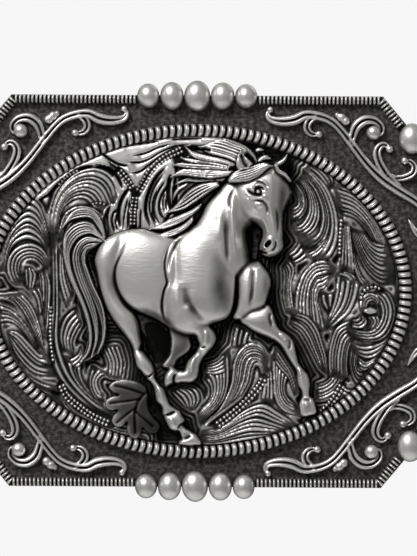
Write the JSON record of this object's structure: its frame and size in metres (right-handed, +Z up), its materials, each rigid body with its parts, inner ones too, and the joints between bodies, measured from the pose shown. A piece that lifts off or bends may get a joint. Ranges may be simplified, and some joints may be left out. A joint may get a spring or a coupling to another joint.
{
  "type": "western belt buckle",
  "caption": "Octagonal trophy belt buckle with rope edging, berry clusters, corner scrolls and a running horse in an oval ring, with a swinging strap bail and a belt hook behind.",
  "frame": {"origin": "centre of the plaque's rear face, which lies against the belt", "axes": "+X to the right seen from the front, +Y backwards out of the rear face towards the wearer, +Z up; the decorated face looks to -Y"},
  "size_m": [0.0856, 0.0181, 0.0698],
  "materials": {
    "antique_silver": "antiqued silver plate, brushed bright on the high points and dark in the recesses",
    "oxidised_silver": "oxidised silver plate, engraved, dark in the cuts",
    "plated_steel": "plain silver-coloured plate, satin"
  },
  "bodies": {
    "buckle": {"base_plate": "oxidised_silver", "centre_panel": "oxidised_silver", "oak_leaf": "oxidised_silver", "oval_rope_ring": "antique_silver", "horse_figure": "antique_silver", "scroll_top_right": "antique_silver", "scroll_top_left": "antique_silver", "scroll_bottom_left": "antique_silver", "scroll_bottom_right": "antique_silver", "bud_top_right": "antique_silver", "bud_top_left": "antique_silver", "bud_bottom_left": "antique_silver", "bud_bottom_right": "antique_silver", "rope_across_top_right": "antique_silver", "rope_across_top_left": "antique_silver", "rope_across_bottom_left": "antique_silver", "rope_across_bottom_right": "antique_silver", "rope_down_top_right": "antique_silver", "rope_down_top_left": "antique_silver", "rope_down_bottom_left": "antique_silver", "rope_down_bottom_right": "antique_silver", "berry_top_right": "antique_silver", "berry_top_left": "antique_silver", "berry_bottom_left": "antique_silver", "berry_bottom_right": "antique_silver", "berry_top_1": "antique_silver", "berry_top_2": "antique_silver", "berry_top_3": "antique_silver", "berry_top_4": "antique_silver", "berry_top_5": "antique_silver", "berry_bottom_1": "antique_silver", "berry_bottom_2": "antique_silver", "berry_bottom_3": "antique_silver", "berry_bottom_4": "antique_silver", "berry_bottom_5": "antique_silver", "berry_left_1": "antique_silver", "berry_left_2": "antique_silver", "berry_left_3": "antique_silver", "berry_left_4": "antique_silver", "berry_left_5": "antique_silver", "berry_right_1": "antique_silver", "berry_right_2": "antique_silver", "berry_right_3": "antique_silver", "berry_right_4": "antique_silver", "berry_right_5": "antique_silver", "back_plaque": "plated_steel", "bail_strip": "plated_steel", "bail_tube": "plated_steel", "hook_base": "plated_steel", "hook_prong": "plated_steel", "hook_rivet_upper": "plated_steel", "hook_rivet_lower": "plated_steel"},
    "bail": {"bail_loop": "plated_steel"}
  },
  "joints": [
    {"name": "bail_swing", "type": "hinge", "parent": "buckle", "child": "bail", "pos_m": [0.022, 0.00285, 0], "axis": [0, 0, 1], "range_deg": [-6, 183]}
  ]
}
